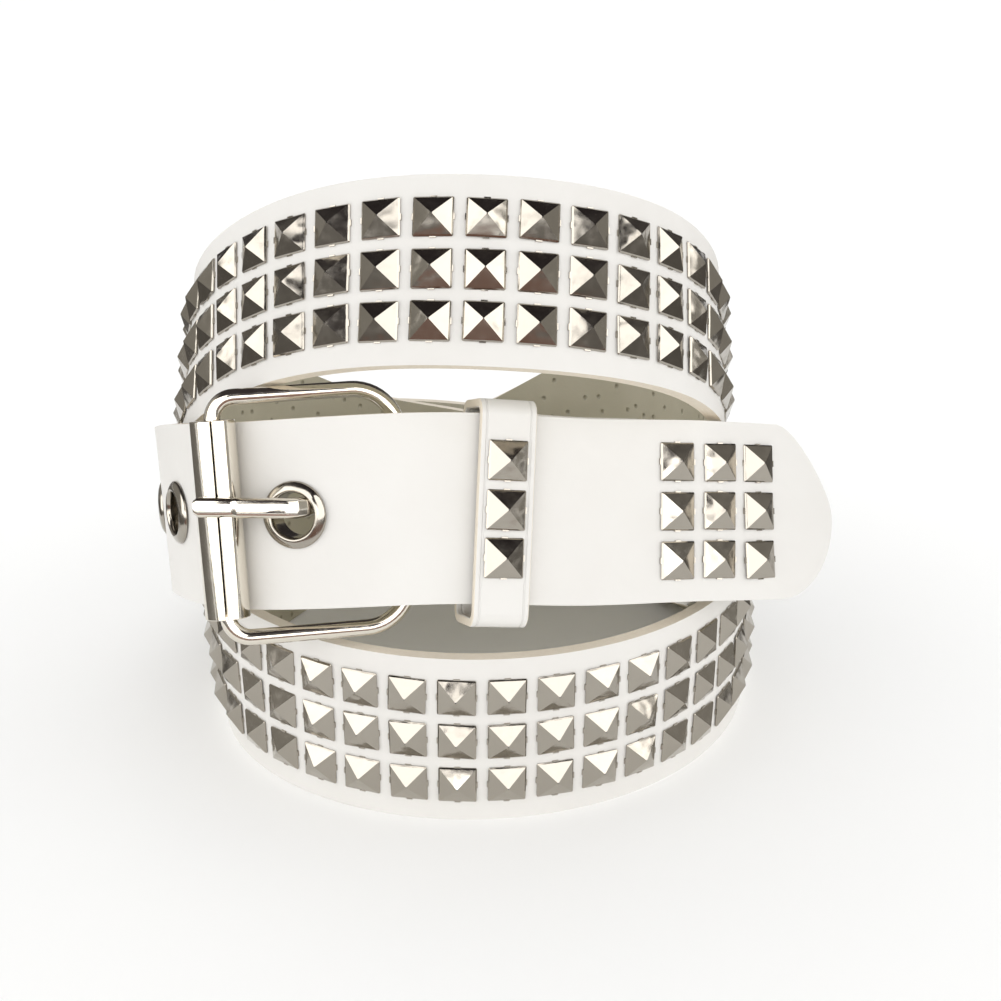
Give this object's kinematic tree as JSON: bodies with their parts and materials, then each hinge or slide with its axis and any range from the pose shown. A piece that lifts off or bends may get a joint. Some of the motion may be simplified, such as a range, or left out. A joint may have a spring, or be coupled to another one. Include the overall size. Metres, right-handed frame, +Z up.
{
  "type": "studded belt",
  "caption": "Studded strap belt with a roller buckle, keeper loop and ringed holes, fastened and coiled in overlapping turns.",
  "frame": {"origin": "centre of the belt's box, on the ground under the lowest turn", "axes": "+Z up, -Y towards the buckle, +X towards the free tip"},
  "size_m": [0.1568, 0.1454, 0.1308],
  "materials": {
    "white_leather": "smooth, satin",
    "grey_lining": "fine dimples, matt",
    "nickel": "polished nickel plate"
  },
  "bodies": {
    "belt": {"studded_strap": "white_leather", "lining": "grey_lining", "tip_stud_1_1": "nickel", "tip_stud_1_2": "nickel", "tip_stud_1_3": "nickel", "tip_stud_2_1": "nickel", "tip_stud_2_2": "nickel", "tip_stud_2_3": "nickel", "tip_stud_3_1": "nickel", "tip_stud_3_2": "nickel", "tip_stud_3_3": "nickel", "eyelet_1": "nickel", "eyelet_2": "nickel", "eyelet_3": "nickel", "eyelet_4": "nickel", "eyelet_5": "nickel", "keeper": "white_leather", "keeper_stud_1": "nickel", "keeper_stud_2": "nickel", "keeper_stud_3": "nickel", "buckle_frame": "nickel", "prong": "nickel"},
    "roller": {"roller": "nickel"}
  },
  "joints": [
    {"name": "roller_spin", "type": "hinge", "parent": "belt", "child": "roller", "pos_m": [-0.05201, -0.06173, 0.06531], "axis": [-0.066, 0.2927, 0.9539], "continuous": true}
  ]
}
